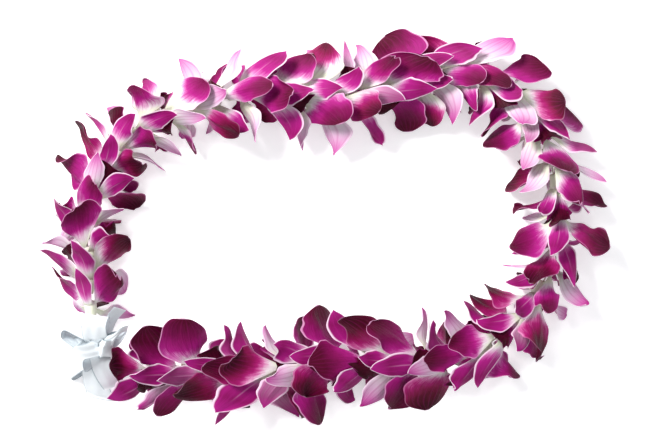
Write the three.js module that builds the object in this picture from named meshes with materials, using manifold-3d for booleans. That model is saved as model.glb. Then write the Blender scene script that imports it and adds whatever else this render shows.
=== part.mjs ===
// A fresh orchid lei: blooms threaded nose to tail on a closed string, with one ribbon bow.
// Millimetres, +Z up. The lei lies flat on the plane z = 0.
import * as THREE from 'three';
import { mergeVertices } from 'three/addons/utils/BufferGeometryUtils.js';
import Module from 'manifold-3d';

const wasm = await Module();
wasm.setup();

// Route of the string seen from above, as the corners of a closed cubic B-spline.
// It starts at the bow and runs clockwise, the way the blooms open.
const ROUTE = [
  [-170, -87], [-177, -59], [-177, -28], [-180, 4], [-172, 36], [-153, 66],
  [-122, 90], [-88, 99], [-52, 108], [-16, 104], [20, 101], [58, 113],
  [96, 124], [130, 118], [156, 92], [173, 60], [180, 27], [179, -6],
  [170, -38], [153, -65], [126, -87], [94, -99], [56, -98], [18, -95],
  [-20, -103], [-58, -108], [-94, -108], [-126, -105], [-151, -100],
];
const MIDDLE_OF_LEI = [1.17, 2.69];
const STRING_HEIGHT = 24;
const STRING_RADIUS = 0.75;
const STRING_SIDES = 6;
const STRING_STEPS = 58;
const KNOT_RADIUS = 1.9;
const KNOT_LENGTH = 6;

// Blooms along the string.
const BLOOM_COUNT = 45;
const FIRST_BLOOM = 30;
const LAST_BLOOM_SHORT = 44;
const BLADE_THICKNESS = 0.72;
const CLEARANCE = 1.15;
const SHORTEST_EDGE = 0.03;

// Neck of a bloom round the bore for the string: radius and place along the string.
const BORE_RADIUS = 1.7;
const NECK = [[1.7, 4], [5.6, 3.4], [3.6, -12], [1.7, -12]];
const NECK_SIDES = 5;
const ROOT_RADIUS = 4.2;
const ROOT_DEPTH = 3.2;

// How the blooms cup forward, nod, grow, sway sideways and give way to the surface below.
const CUP_DEPTH = 23;
const CUP_REACH = 25;
const NOD_MEAN = 1;
const NOD_SWING = 0.3;
const NOD_TURN = 10.6;
const NOD_RIPPLE = 0.15;
const GROWTH_SWING = 0.07;
const SWAY = 0.23;
const SWIRL = 4;
const SWIRL_PITCH = 97;
const FLOOR_SWEEP = 12;
const FLOOR_REACH = 5.5;
const TOSS = 4.4;

// Satin ribbon of the bow, wound round the knot of the string and folded into loops and tails.
// Each piece has its heading seen from above, its rise, roll (degrees) and droop.
const RIBBON_THICKNESS = 0.6;
const TURN_RADIUS = 2.7;
const TURN_WIDTH = 8;
const BOW_RISE = 6;
const BOW_CLEARANCE = 2.8;
const RIBBON_PIECES = [
  { heading: 108, rise: 38, droop: 2, roll: -8, length: 27, opening: 12, halfWidth: 9.5 },
  { heading: 4, rise: 28, droop: 0, roll: 20, length: 31, opening: 10, halfWidth: 8.5 },
  { heading: 208, rise: -12, droop: 26, roll: 6, length: 38, opening: 14, halfWidth: 8.5 },
  { heading: 262, rise: 12, droop: 18, roll: -12, length: 33, opening: 9, halfWidth: 7.5 },
  { heading: 172, rise: 8, droop: 2, roll: 62, length: 29, opening: 9, halfWidth: 7.5 },
  { heading: 228, rise: 42, droop: 2, roll: -25, length: 26, opening: 11, halfWidth: 8 },
  { heading: 76, rise: 16, droop: -3, roll: 48, length: 36, opening: 0, halfWidth: 6 },
  { heading: 240, rise: -8, droop: 24, roll: 5, length: 42, opening: 0, halfWidth: 7 },
  { heading: 318, rise: 44, droop: 4, roll: 30, length: 19, opening: 9, halfWidth: 8 },
];

const { abs, atan2, cos, exp, floor, hypot, max, min, PI, sin, sqrt, tanh } = Math;

function smooth(x) {
  const c = min(max(x, 0), 1);
  return c * c * (3 - 2 * c);
}

// Half width along a tepal, as a share of its widest.
function petalOutline(u) {
  const claw = smooth(u / 0.48) ** 0.6;
  return claw * max(1 - max((u - 0.5) / 0.53, 0) ** 2.2, 0) ** 0.64;
}

function sepalOutline(u) {
  const base = (0.5 + 0.5 * smooth(u / 0.45)) * smooth(u / 0.1);
  return base * max(1 - max((u - 0.4) / 0.6, 0) ** 1.9, 0) ** 0.85;
}

function lipOutline(u) {
  const sideLobes = 0.45 * exp(-(((u - 0.45) / 0.15) ** 2));
  const midLobe = 0.25 * exp(-(((u - 0.9) / 0.15) ** 2));
  return 0.8 * (1 - max(1 - u / 0.3, 0) ** 2) + sideLobes + midLobe;
}

// The three kinds of tepal: true length, half width, its layer of the bloom and the room there,
// how much it bends sideways (radians), how much it leans, curls, ruffles and furls at most,
// its channel and twist, and the grid that it is cut on.
const SEPAL = {
  length: 39,
  width: 8.8,
  layer: -0.5,
  room: 0.48,
  bow: 1,
  channel: 2.2,
  arch: 4,
  twist: 7,
  lean: 7,
  curl: 11,
  ruffle: 1.2,
  furl: 0.3,
  rows: [0, 0.36, 0.7, 1],
  columns: 2,
  outline: sepalOutline,
};
const PETAL = {
  length: 38.5,
  width: 14.6,
  layer: 0.36,
  room: 0.6,
  bow: 0.45,
  channel: 0,
  arch: 9,
  twist: 17,
  lean: 6,
  curl: 11,
  ruffle: 3,
  furl: 0.5,
  rows: [0, 0.36, 0.72, 1],
  columns: 2,
  outline: petalOutline,
};
const LIP = {
  length: 23,
  width: 8,
  layer: 0.5,
  room: 0.45,
  bow: 0.1,
  channel: 3,
  arch: 1,
  twist: 1,
  lean: 3,
  curl: 4,
  ruffle: 0.9,
  furl: 0,
  rows: [0, 0.5, 1],
  columns: 2,
  outline: lipOutline,
};
const TEPALS = [
  { kind: SEPAL, azimuth: 90 },
  { kind: PETAL, azimuth: 18 },
  { kind: SEPAL, azimuth: -52 },
  { kind: LIP, azimuth: -90 },
  { kind: SEPAL, azimuth: -128 },
  { kind: PETAL, azimuth: 162 },
];

// Seeded draw between 0 and 1 for the pair (n, m).
function draw(n, m) {
  const x = sin(n * 12.9898 + m * 78.233) * 43758.5453;
  return x - floor(x);
}

// The same between -1 and 1.
function swing(n, m) {
  return 2 * draw(n, m) - 1;
}

// Closed cubic B-spline through the plane of the string.
class RouteCurve extends THREE.Curve {
  constructor() {
    super();
    this.arcLengthDivisions = 1450;
  }

  getPoint(u, target = new THREE.Vector3()) {
    const n = ROUTE.length;
    const f = (u - floor(u)) * n;
    const i = floor(f) % n;
    const a = f - floor(f);
    const weights = [
      (1 - a) ** 3 / 6,
      (3 * a ** 3 - 6 * a ** 2 + 4) / 6,
      (-3 * a ** 3 + 3 * a ** 2 + 3 * a + 1) / 6,
      a ** 3 / 6,
    ];
    target.set(0, 0, STRING_HEIGHT);
    weights.forEach((w, j) => {
      const corner = ROUTE[(i + j + n - 1) % n];
      target.x += w * corner[0];
      target.y += w * corner[1];
    });
    return target;
  }
}

const route = new RouteCurve();
const LENGTH = route.getLength();
const PITCH = (LENGTH - FIRST_BLOOM - LAST_BLOOM_SHORT) / (BLOOM_COUNT - 1);

// Point s millimetres along the string, the direction there, the outward side and the bend.
function frameAt(s) {
  const u = s / LENGTH;
  const step = 0.5 / LENGTH;
  const at = (x) => route.getPointAt(x - floor(x));
  const point = at(u);
  const ahead = at(u + step);
  const behind = at(u - step);
  const along = ahead.clone().sub(behind).normalize();
  const out = new THREE.Vector3(-along.y, along.x, 0);
  return { point, along, out };
}

// Bend per millimetre of the string at s, positive where the loop closes on the hole.
function bendAt(s) {
  const reach = 6;
  const before = frameAt(s - reach).along;
  const after = frameAt(s + reach).along;
  const turn = before.x * after.y - before.y * after.x;
  return -turn / (2 * reach);
}

// From straight space (s along the string, y outward, z up from it) to the lei.
function lay(s, y, z) {
  const { point, out } = frameAt(s);
  return point.clone().addScaledVector(out, y).add(new THREE.Vector3(0, 0, z));
}

// How far the blooms nod forward (positive) or look up (negative) along the string.
function nod(s) {
  const around = (2 * PI * s) / LENGTH;
  return NOD_MEAN + NOD_SWING * cos(2 * around - NOD_TURN) + NOD_RIPPLE * sin(3 * around + 0.6);
}

// Depth of the cup that every bloom near s shares, over the cross-section (y, z).
function cup(s, y, z) {
  const r = hypot(y, z);
  const funnel = CUP_DEPTH * (1 - exp(-r / CUP_REACH));
  const lean = nod(s) * (0.72 * z + 0.28 * (hypot(z, 4) - 4)) * smooth(r / 14);
  const side = SWAY * y * sin((2 * PI * s) / 230 + 1);
  const sweep = FLOOR_SWEEP * tanh(-2 * nod(s)) * exp(-(z + STRING_HEIGHT) / FLOOR_REACH);
  const swirl = SWIRL * sin((2 * PI * s) / SWIRL_PITCH + atan2(z, y)) * smooth(r / 24);
  return funnel + lean + side + sweep + swirl;
}

// Wall between bloom k and bloom k + 1: neither passes it.
function wall(k, y, z) {
  const s = FIRST_BLOOM + PITCH * (k + 0.5);
  const r = hypot(y, z);
  const turn = 2 * PI * draw(k, 1);
  const tilt = (TOSS / 34) * (y * cos(turn) + z * sin(turn));
  const fold = 2 * PI * draw(k, 2);
  const wave = ((0.5 * TOSS) / 34) * ((y * y - z * z) * cos(fold) + 2 * y * z * sin(fold)) / (r + 8);
  const first = k < 0 ? -2 - 6 * tanh(z / 10) : 0;
  const last = k === BLOOM_COUNT - 1 ? -8 : 0;
  const ends = (first + last) * smooth((r - 8) / 20);
  return s - ROOT_DEPTH + cup(s, y, z) + tilt + wave + ends;
}

// Place s of a point of bloom k at (y, z) that wants to stand d ahead of its layer of the cell.
// Towards the tips the layers draw a little closer and every tepal has the same room to curl in.
function nest(k, kind, y, z, d, bend) {
  const back = wall(k - 1, y, z);
  const front = wall(k, y, z);
  const h = 0.6;
  const dy = (wall(k, y + h, z) - wall(k, y - h, z)) / (2 * h);
  const dz = (wall(k, y, z + h) - wall(k, y, z - h)) / (2 * h);
  const stretch = 1 + bend * y;
  const slope = stretch * hypot(dy, dz);
  const half = (front - back) / 2 - (CLEARANCE * sqrt(1 + slope * slope)) / stretch;
  const r = hypot(y, z);
  const spread = 0.35 + 0.65 * smooth((r - 3) / 8);
  const free = smooth((r - 10) / 14);
  const space = max(half, 0.8);
  const layer = kind.layer * spread * (1 - 0.15 * free) * space;
  const room = (kind.room + (0.6 - kind.room) * free) * space;
  return (front + back) / 2 + layer + room * tanh(d / room);
}

// Height kept above the surface: flat just over it and untouched well above.
function settle(z) {
  const low = -STRING_HEIGHT + BLADE_THICKNESS / 2;
  const start = -15;
  if (z > start) {
    return z;
  }
  const depth = start - low + 3.5;
  return max(start - depth * tanh((start - z) / depth), low);
}

// Midrib of a tepal in the cross-section, walked out in equal steps of true length.
function midrib(s, azimuth, bow, length) {
  const steps = 24;
  const rib = [];
  let y = ROOT_RADIUS * cos(azimuth);
  let z = ROOT_RADIUS * sin(azimuth);
  for (let i = 0; i <= steps; i += 1) {
    const turn = azimuth + bow * (i / steps) ** 2;
    const ey = cos(turn);
    const ez = sin(turn);
    rib.push({ y, z, turn });
    const rise = cup(s, y + 0.5 * ey, z + 0.5 * ez) - cup(s, y - 0.5 * ey, z - 0.5 * ez);
    const stride = length / steps / sqrt(1 + rise * rise);
    y += stride * ey;
    z += stride * ez;
  }
  return rib;
}

// Mid-surface of tepal j of bloom k: u runs along it, x is millimetres to the side of its midrib.
function tepalSurface(k, j) {
  const { kind, azimuth } = TEPALS[j];
  const s = FIRST_BLOOM + PITCH * k;
  const bend = bendAt(s);
  const n = 7 * k + j;
  const roll = (PI / 180) * (137.5 * k + 24 * swing(k, 3));
  const grown = GROWTH_SWING * cos((4 * PI * s) / LENGTH - NOD_TURN);
  const size = 1 + grown + 0.05 * swing(k, 4) + 0.1 * swing(n, 5);
  const width = kind.width * size * (1 - kind.furl * draw(n, 14) ** 2);
  const heading = (PI / 180) * (azimuth + 5 * swing(n, 7)) + roll;
  const rib = midrib(s, heading, kind.bow * swing(n, 8), kind.length * size);
  const lean = 2.5 * swing(k, 6) + kind.lean * swing(n, 9);
  const curl = kind.curl * swing(n, 10);
  const channel = kind.channel + kind.arch * swing(n, 11);
  const twist = kind.twist * swing(n, 12);
  const phase = 2 * PI * draw(n, 13);
  const at = (u, x) => {
    const f = min(max(u, 0), 1) * (rib.length - 1);
    const i = min(floor(f), rib.length - 2);
    const a = f - i;
    const turn = rib[i].turn + a * (rib[i + 1].turn - rib[i].turn);
    const y = rib[i].y + a * (rib[i + 1].y - rib[i].y) - x * sin(turn);
    const z = settle(rib[i].z + a * (rib[i + 1].z - rib[i].z) + x * cos(turn));
    const v = x / width;
    const rise = lean * u * u + curl * u ** 4;
    const arch = channel * v * v * smooth(u / 0.4) + twist * v * u;
    const ruffle = kind.ruffle * sin(7 * u + phase) * v * abs(v);
    return lay(nest(k, kind, y, z, rise + arch + ruffle, bend), y, z);
  };
  return { width, at };
}

// Closed sheet of even thickness: at(u, x) is its middle, with u along it in rows and x across it.
function sheet(at, halfWidth, rows, columns, thickness) {
  const grid = new THREE.PlaneGeometry(1, 1, columns, rows.length - 1);
  const count = grid.attributes.position.count;
  const points = new Float32Array(count * 6);
  const h = 0.02;
  for (let i = 0; i < count; i += 1) {
    const u = rows[floor(i / (columns + 1))];
    const x = ((2 * (i % (columns + 1))) / columns - 1) * halfWidth(u);
    const point = at(u, x);
    const ahead = at(min(u + h, 1), x).sub(at(max(u - h, 0), x));
    const across = at(u, x + 0.3).sub(at(u, x - 0.3));
    const half = ahead.cross(across).setLength(thickness / 2);
    point.clone().add(half).toArray(points, 3 * i);
    point.clone().sub(half).toArray(points, 3 * (count + i));
  }
  const index = [];
  for (let i = 0; i < grid.index.count; i += 3) {
    const [a, b, c] = [0, 1, 2].map((j) => grid.index.getX(i + j));
    index.push(a, b, c, count + a, count + c, count + b);
  }
  const last = (rows.length - 1) * (columns + 1);
  const rim = [];
  for (let c = 0; c < columns; c += 1) {
    rim.push(c);
  }
  for (let r = 0; r < rows.length - 1; r += 1) {
    rim.push(r * (columns + 1) + columns);
  }
  for (let c = columns; c > 0; c -= 1) {
    rim.push(last + c);
  }
  for (let r = rows.length - 1; r > 0; r -= 1) {
    rim.push(r * (columns + 1));
  }
  rim.forEach((a, i) => {
    const b = rim[(i + 1) % rim.length];
    index.push(a, b, count + b, a, count + b, count + a);
  });
  const geometry = new THREE.BufferGeometry();
  geometry.setAttribute('position', new THREE.BufferAttribute(points, 3));
  geometry.setIndex(index);
  return geometry;
}

// Solid of a closed geometry, its shared corners joined and its empty triangles left out.
function solid(geometry) {
  const bare = geometry.clone();
  bare.deleteAttribute('normal');
  bare.deleteAttribute('uv');
  const merged = mergeVertices(bare, 1e-4);
  const triangles = [];
  for (let i = 0; i < merged.index.count; i += 3) {
    const [a, b, c] = [0, 1, 2].map((j) => merged.index.getX(i + j));
    if (a !== b && b !== c && c !== a) {
      triangles.push(a, b, c);
    }
  }
  const vertProperties = new Float32Array(merged.attributes.position.array);
  return new wasm.Manifold(new wasm.Mesh({
    numProp: 3,
    vertProperties,
    triVerts: new Uint32Array(triangles),
  }));
}

// Neck and chin of bloom k behind its tepals, with the bore for the string.
function neck(k) {
  const roll = (PI / 180) * (137.5 * k + 24 * swing(k, 3));
  const profile = NECK.map(([r, t]) => new THREE.Vector2(r, t));
  const geometry = new THREE.LatheGeometry([...profile, profile[0]], NECK_SIDES);
  const position = geometry.attributes.position;
  const s = FIRST_BLOOM + PITCH * k;
  const point = new THREE.Vector3();
  for (let i = 0; i < position.count; i += 1) {
    point.fromBufferAttribute(position, i);
    const r = hypot(point.x, point.z);
    const angle = atan2(point.z, point.x);
    const swell = 0.22 * max(-sin(angle), 0) * smooth((4 - point.y) / 8);
    const chin = r > BORE_RADIUS + 0.1 ? 1 + swell : 1;
    const y = r * chin * cos(angle + roll);
    const z = r * chin * sin(angle + roll);
    const placed = lay(s + point.y, y, z);
    position.setXYZ(i, placed.x, placed.y, placed.z);
  }
  return geometry;
}

// Geometry of a joined solid, with its positions alone.
function shape(manifold) {
  const { vertProperties, triVerts } = manifold.getMesh();
  const geometry = new THREE.BufferGeometry();
  geometry.setAttribute('position', new THREE.BufferAttribute(new Float32Array(vertProperties), 3));
  geometry.setIndex(new THREE.BufferAttribute(new Uint32Array(triVerts), 1));
  return geometry;
}

// The same solid with every two corners that nearly touch drawn together.
function weld(manifold) {
  const geometry = shape(manifold);
  const position = geometry.attributes.position;
  const kept = [];
  for (let i = 0; i < position.count; i += 1) {
    const corner = new THREE.Vector3().fromBufferAttribute(position, i);
    const home = kept.find((other) => other.distanceTo(corner) < SHORTEST_EDGE);
    if (home) {
      position.setXYZ(i, home.x, home.y, home.z);
    } else {
      kept.push(corner);
    }
  }
  return solid(geometry);
}

// Largest body of a union, with the hollows that joining sealed filled in.
function whole(manifold) {
  const bodies = manifold.decompose();
  return weld(bodies.reduce((best, body) => (body.volume() > best.volume() ? body : best)));
}

// Part of the route between two places s on the string.
class Stretch extends THREE.Curve {
  constructor(from, to) {
    super();
    this.from = from;
    this.to = to;
    this.arcLengthDivisions = 400;
  }

  getPoint(u, target = new THREE.Vector3()) {
    return target.copy(frameAt(this.from + (this.to - this.from) * u).point);
  }
}

// The string, once round, with its two ends tied in the knot.
function stringSolid() {
  const section = new THREE.Shape();
  for (let i = 0; i < STRING_SIDES; i += 1) {
    const a = (2 * PI * i) / STRING_SIDES;
    const corner = [STRING_RADIUS * cos(a), STRING_RADIUS * sin(a)];
    if (i === 0) {
      section.moveTo(...corner);
    } else {
      section.lineTo(...corner);
    }
  }
  section.closePath();
  const cord = new THREE.ExtrudeGeometry(section, {
    steps: STRING_STEPS,
    curveSegments: 1,
    bevelEnabled: false,
    extrudePath: new Stretch(1, LENGTH - 1),
  });
  const { point, along } = frameAt(0);
  const knot = new THREE.SphereGeometry(KNOT_RADIUS, 6, 4);
  knot.scale(1, KNOT_LENGTH / (2 * KNOT_RADIUS), 1);
  knot.applyQuaternion(new THREE.Quaternion().setFromUnitVectors(new THREE.Vector3(0, 1, 0), along));
  knot.translate(point.x, point.y, point.z);
  return solid(cord).add(solid(knot));
}

// Place of a point of the bow: (dx, dy) seen from above from the knot, rise above the string.
// It keeps above the surface and between the blooms on either side.
function placeBow(dx, dy, rise) {
  const { along, out } = frameAt(0);
  const t = dx * along.x + dy * along.y;
  const y = dx * out.x + dy * out.y;
  const z = max(rise, -STRING_HEIGHT + RIBBON_THICKNESS / 2);
  const front = wall(-1, y, z) - BOW_CLEARANCE;
  const back = wall(BLOOM_COUNT - 1, y, z) - LENGTH + BOW_CLEARANCE;
  const room = (front - back) / 2;
  const middle = (front + back) / 2;
  const share = (t - middle) / room;
  return lay(middle + (room * share) / (1 + share ** 4) ** 0.25, y, z);
}

// One loop of the ribbon, out from the knot and back, or one tail, out only.
function ribbonPiece({ heading, rise, droop, roll, length, opening, halfWidth }) {
  const turn = (PI / 180) * heading;
  const lift = (PI / 180) * rise;
  const lean = (PI / 180) * roll;
  const ahead = new THREE.Vector3(cos(turn) * cos(lift), sin(turn) * cos(lift), sin(lift));
  const side = new THREE.Vector3(-sin(turn), cos(turn), 0).applyAxisAngle(ahead, lean);
  const up = ahead.clone().cross(side);
  const looped = opening > 0;
  const at = (u, x) => {
    const reach = looped ? (1 - cos(2 * PI * u)) / 2 : u;
    const bulge = looped ? (opening / 2) * tanh(2.2 * sin(2 * PI * u)) : 2.5 * sin(4 * u + 1);
    const p = ahead.clone().multiplyScalar(length * reach);
    p.addScaledVector(up, bulge * (0.35 + 0.65 * smooth(reach / 0.4)));
    p.addScaledVector(side, x);
    return placeBow(p.x, p.y, p.z + BOW_RISE - droop * reach * reach);
  };
  const across = (u) => {
    const reach = looped ? (1 - cos(2 * PI * u)) / 2 : u;
    return halfWidth * (0.24 + 0.76 * smooth(reach / 0.42));
  };
  const rows = looped ? [0.06, 0.26, 0.42, 0.5, 0.58, 0.74, 0.94] : [0.05, 0.5, 1];
  return solid(sheet(at, across, rows, 1, RIBBON_THICKNESS));
}

// The ribbon: a turn round the string, the gathered middle on top of it, the loops and the tails.
function bowSolid() {
  const { point, along } = frameAt(0);
  const toString = new THREE.Quaternion().setFromUnitVectors(new THREE.Vector3(0, 1, 0), along);
  const band = [
    [TURN_RADIUS, -TURN_WIDTH / 2],
    [TURN_RADIUS + 1, -TURN_WIDTH / 2],
    [TURN_RADIUS + 1, TURN_WIDTH / 2],
    [TURN_RADIUS, TURN_WIDTH / 2],
    [TURN_RADIUS, -TURN_WIDTH / 2],
  ];
  const turn = new THREE.LatheGeometry(band.map(([r, t]) => new THREE.Vector2(r, t)), 7);
  turn.applyQuaternion(toString);
  turn.translate(point.x, point.y, point.z);
  const middle = new THREE.SphereGeometry(4.6, 6, 4);
  middle.scale(1, 1, 0.85);
  middle.translate(point.x, point.y, point.z + BOW_RISE);
  let bow = solid(turn).add(solid(middle));
  RIBBON_PIECES.forEach((piece) => {
    bow = bow.add(ribbonPiece(piece));
  });
  return whole(bow);
}

const material = (color, roughness) => new THREE.MeshStandardMaterial({ color, roughness, metalness: 0 });
const petalMaterial = material(0xa3237f, 0.55);
const stringMaterial = material(0xf2efe6, 0.9);
const ribbonMaterial = material(0xf4f6fb, 0.35);

// The group puts the middle of the whole lei at the origin.
const lei = new THREE.Group();
lei.position.set(-MIDDLE_OF_LEI[0], -MIDDLE_OF_LEI[1], 0);

function addPiece(name, manifold, look) {
  const mesh = new THREE.Mesh(shape(manifold), look);
  mesh.name = name;
  lei.add(mesh);
}

for (let k = 0; k < BLOOM_COUNT; k += 1) {
  let bloom = solid(neck(k));
  TEPALS.forEach(({ kind }, j) => {
    const { width, at } = tepalSurface(k, j);
    const halfWidth = (u) => width * kind.outline(u);
    bloom = bloom.add(solid(sheet(at, halfWidth, kind.rows, kind.columns, BLADE_THICKNESS)));
  });
  addPiece(`bloom_${String(k + 1).padStart(2, '0')}`, whole(bloom), petalMaterial);
}

addPiece('string', stringSolid(), stringMaterial);
addPiece('bow_ribbon', bowSolid(), ribbonMaterial);

export default lei;
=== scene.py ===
"""A fresh orchid lei with a satin bow, its petals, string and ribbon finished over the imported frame.

Shapes are worked out in millimetres, in the lei's own straight space: s runs along the string from
the knot, y points outwards from the loop and z up from the string. lay() bends that space round the
closed route, and MM turns the result into metres.
"""
import math

import bpy
import numpy as np
from mathutils import Matrix


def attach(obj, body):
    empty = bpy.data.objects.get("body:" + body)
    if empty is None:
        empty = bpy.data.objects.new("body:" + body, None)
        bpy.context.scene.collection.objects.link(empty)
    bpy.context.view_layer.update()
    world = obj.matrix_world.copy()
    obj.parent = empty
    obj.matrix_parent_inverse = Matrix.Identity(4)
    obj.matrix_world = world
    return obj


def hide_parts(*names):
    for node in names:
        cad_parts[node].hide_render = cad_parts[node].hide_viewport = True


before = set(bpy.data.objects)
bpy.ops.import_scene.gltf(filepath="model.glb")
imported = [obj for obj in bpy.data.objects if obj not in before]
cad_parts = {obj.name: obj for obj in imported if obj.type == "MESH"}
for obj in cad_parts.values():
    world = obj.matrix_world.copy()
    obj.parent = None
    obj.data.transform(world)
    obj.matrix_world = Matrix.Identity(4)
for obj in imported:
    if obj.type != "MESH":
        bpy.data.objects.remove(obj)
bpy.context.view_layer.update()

MM = 0.001
PI = math.pi

# Route of the string, seen from above: corners of a closed cubic B-spline, clockwise from the bow.
ROUTE = np.array([
    [-170, -87], [-177, -59], [-177, -28], [-180, 4], [-172, 36], [-153, 66],
    [-122, 90], [-88, 99], [-52, 108], [-16, 104], [20, 101], [58, 113],
    [96, 124], [130, 118], [156, 92], [173, 60], [180, 27], [179, -6],
    [170, -38], [153, -65], [126, -87], [94, -99], [56, -98], [18, -95],
    [-20, -103], [-58, -108], [-94, -108], [-126, -105], [-151, -100],
], float)
MIDDLE_OF_LEI = np.array([1.17, 2.69])
ROUTE_DIVISIONS = 1450
STRING_HEIGHT = 24
STRING_RADIUS = 0.75

# Blooms along the string.
BLOOM_COUNT = 45
FIRST_BLOOM = 30
LAST_BLOOM_SHORT = 44
CLEARANCE = 1.15
GOLDEN_ANGLE = 137.5
ROLL_SWING = 24
BORE_RADIUS = 1.7
ROOT_RADIUS = 4.2
ROOT_DEPTH = 3.2
CAD_BLADE = 0.72

# How the blooms cup forward, nod, grow, sway sideways and give way to the surface below.
CUP_DEPTH = 23
CUP_REACH = 25
NOD_MEAN = 1
NOD_SWING = 0.3
NOD_TURN = 10.6
NOD_RIPPLE = 0.15
GROWTH_SWING = 0.07
SWAY = 0.23
SWAY_PITCH = 230
SWIRL = 4
SWIRL_PITCH = 97
FLOOR_SWEEP = 12
FLOOR_REACH = 5.5
TOSS = 4.4
TOSS_REACH = 34

# Petal flesh: thickness at the midrib and at the rim.
FLESH = 0.5
RIM = 0.2

# Tone of the flowers, deeper on one side of the loop than on the other.
TONE_MEAN = -0.15
TONE_SWING = 0.35
TONE_TURN = 5.3

# Satin ribbon of the bow, thinner than the solids' ribbon. The spare length is what its turn round the
# string, its gathered middle and its knot take up.
CAD_RIBBON = 0.6
SATIN = 0.32
RIBBON_SPARE = 60
TURN_RADIUS = 2.7
TURN_WIDTH = 8
GATHER_RADIUS = 4.5
BOW_RISE = 6
BOW_CLEARANCE = 2.8
RIBBON_PIECES = [
    dict(heading=108, rise=38, droop=2, roll=-8, length=27, opening=12, half_width=9.5),
    dict(heading=4, rise=28, droop=0, roll=20, length=31, opening=10, half_width=8.5),
    dict(heading=208, rise=-12, droop=26, roll=6, length=38, opening=14, half_width=8.5),
    dict(heading=262, rise=12, droop=18, roll=-12, length=33, opening=9, half_width=7.5),
    dict(heading=172, rise=8, droop=2, roll=62, length=29, opening=9, half_width=7.5),
    dict(heading=228, rise=42, droop=2, roll=-25, length=26, opening=11, half_width=8),
    dict(heading=76, rise=16, droop=-3, roll=48, length=36, opening=0, half_width=6),
    dict(heading=240, rise=-8, droop=24, roll=5, length=42, opening=0, half_width=7),
    dict(heading=318, rise=44, droop=4, roll=30, length=19, opening=9, half_width=8),
]

# The photograph's frame, and its scale on the plane of the string.
PHOTO_WIDTH = 669
PHOTO_HEIGHT = 446
MM_PER_PIXEL = 0.76
ROUTE_ORIGIN_PIXEL = np.array([322, 232])
LENS = 110
SENSOR = 36


# ---------------------------------------------------------------- shaping functions

def smooth(x):
    """Smooth step: 3x^2 - 2x^3 with x held between 0 and 1."""
    c = np.clip(x, 0, 1)
    return c * c * (3 - 2 * c)


def draw(n, m):
    """Seeded draw between 0 and 1 for the pair (n, m): the fraction of a large sine."""
    x = math.sin(n * 12.9898 + m * 78.233) * 43758.5453
    return x - math.floor(x)


def swing(n, m):
    """The same draw between -1 and 1."""
    return 2 * draw(n, m) - 1


def spline(t):
    """Point of the closed cubic B-spline at the share t of the way round."""
    count = len(ROUTE)
    f = (t - np.floor(t)) * count
    i = np.floor(f).astype(int) % count
    a = (f - np.floor(f))[..., None]
    weights = [(1 - a) ** 3, 3 * a**3 - 6 * a**2 + 4, -3 * a**3 + 3 * a**2 + 3 * a + 1, a**3]
    return sum(w / 6 * ROUTE[(i + j - 1) % count] for j, w in enumerate(weights))


ROUTE_SHARES = np.linspace(0, 1, ROUTE_DIVISIONS + 1)
ROUTE_LENGTHS = np.concatenate([
    [0], np.cumsum(np.linalg.norm(np.diff(spline(ROUTE_SHARES), axis=0), axis=1))])
LENGTH = ROUTE_LENGTHS[-1]
PITCH = (LENGTH - FIRST_BLOOM - LAST_BLOOM_SHORT) / (BLOOM_COUNT - 1)


def on_route(s):
    """Point s millimetres along the string, by its table of lengths."""
    s = np.asarray(s, float)
    return spline(np.interp(s % LENGTH, ROUTE_LENGTHS, ROUTE_SHARES))


def frame_at(s):
    """Point of the string at s, its direction, and the outward side, a quarter turn from that."""
    along = on_route(s + 0.5) - on_route(s - 0.5)
    along = along / np.linalg.norm(along, axis=-1, keepdims=True)
    out = np.stack([-along[..., 1], along[..., 0]], axis=-1)
    return on_route(s), along, out


def lay(s, y, z):
    """Straight space to the lei: the string's point, plus y to its outward side, plus z upwards."""
    s, y, z = np.broadcast_arrays(np.asarray(s, float), y, z)
    point, _, out = frame_at(s)
    plan = point + out * y[..., None] - MIDDLE_OF_LEI
    return np.concatenate([plan, (z + STRING_HEIGHT)[..., None]], axis=-1)


def bend_at(s):
    """Bend per millimetre of the string, positive where the loop closes on the hole."""
    reach = 6
    _, before, _ = frame_at(np.array(s - reach, float))
    _, after, _ = frame_at(np.array(s + reach, float))
    return -(before[0] * after[1] - before[1] * after[0]) / (2 * reach)


def nod(s):
    """How far the blooms nod forward: a mean plus one wave twice and one three times round the loop."""
    around = 2 * PI * s / LENGTH
    return NOD_MEAN + NOD_SWING * np.cos(2 * around - NOD_TURN) + NOD_RIPPLE * np.sin(3 * around + 0.6)


def cup(s, y, z):
    """Cup that the blooms near s share over the cross-section, by the distance r from the string.

    The funnel is an exponential rise in r, the lean follows the height by the nod, the side leans with y
    by a sine of s, the sweep is an exponential of the height over the floor, and the swirl is a sine of
    the angle that turns along the string.
    """
    r = np.hypot(y, z)
    funnel = CUP_DEPTH * (1 - np.exp(-r / CUP_REACH))
    lean = nod(s) * (0.72 * z + 0.28 * (np.hypot(z, 4) - 4)) * smooth(r / 14)
    side = SWAY * y * np.sin(2 * PI * s / SWAY_PITCH + 1)
    sweep = FLOOR_SWEEP * np.tanh(-2 * nod(s)) * np.exp(-(z + STRING_HEIGHT) / FLOOR_REACH)
    swirl = SWIRL * np.sin(2 * PI * s / SWIRL_PITCH + np.arctan2(z, y)) * smooth(r / 24)
    return funnel + lean + side + sweep + swirl


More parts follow.
